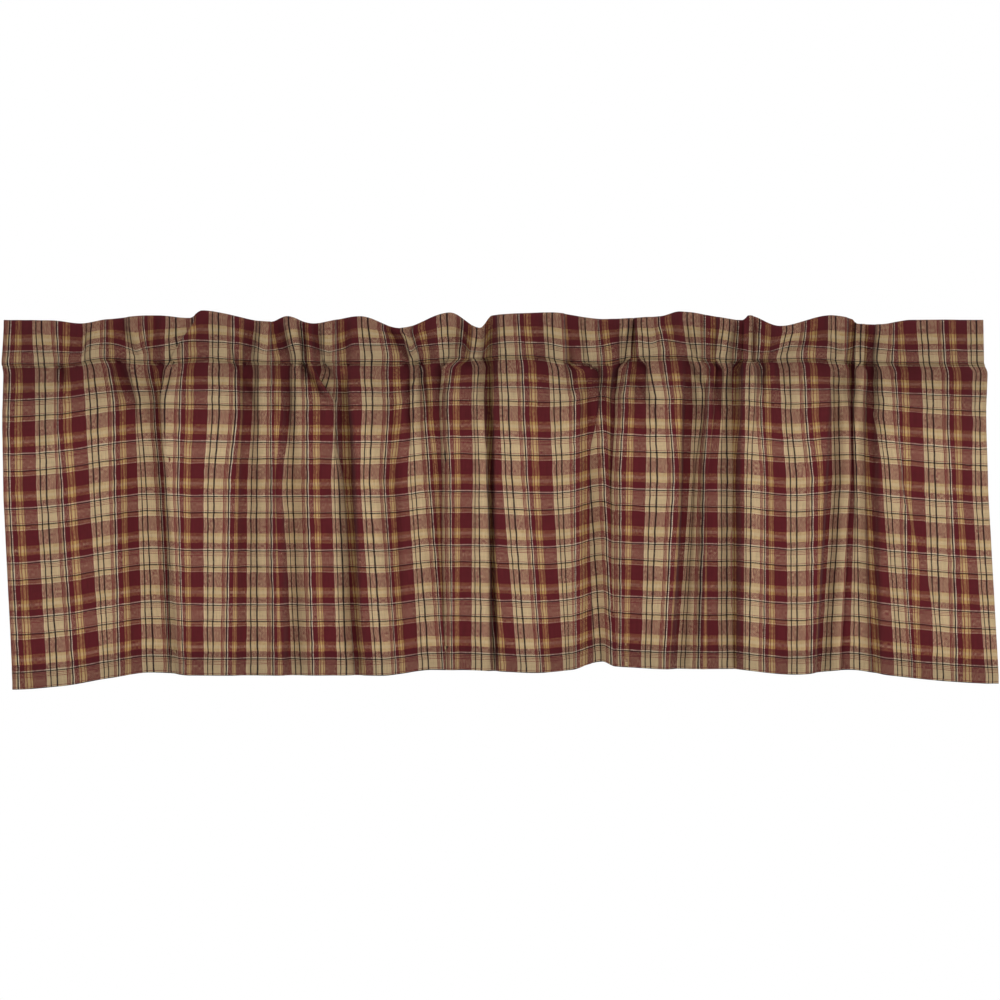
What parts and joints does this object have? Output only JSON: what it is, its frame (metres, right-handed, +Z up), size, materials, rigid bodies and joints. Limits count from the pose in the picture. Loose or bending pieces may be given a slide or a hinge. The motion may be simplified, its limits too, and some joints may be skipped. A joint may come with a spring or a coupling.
{
  "type": "rod pocket valance",
  "caption": "Short gathered window valance in plain-woven burgundy, cream and tan plaid cotton, with an open rod pocket along its top and a stitched hem below.",
  "frame": {"origin": "middle of the top edge, at its average height, half way between the front and the back of the rod pocket", "axes": "+X along the valance to the right of someone facing it, -Y towards that viewer, +Z up"},
  "size_m": [1.0988, 0.0304, 0.4156],
  "materials": {
    "plaid_cotton": "matte"
  },
  "bodies": {
    "root": {"valance_cloth": "plaid_cotton"}
  },
  "joints": []
}
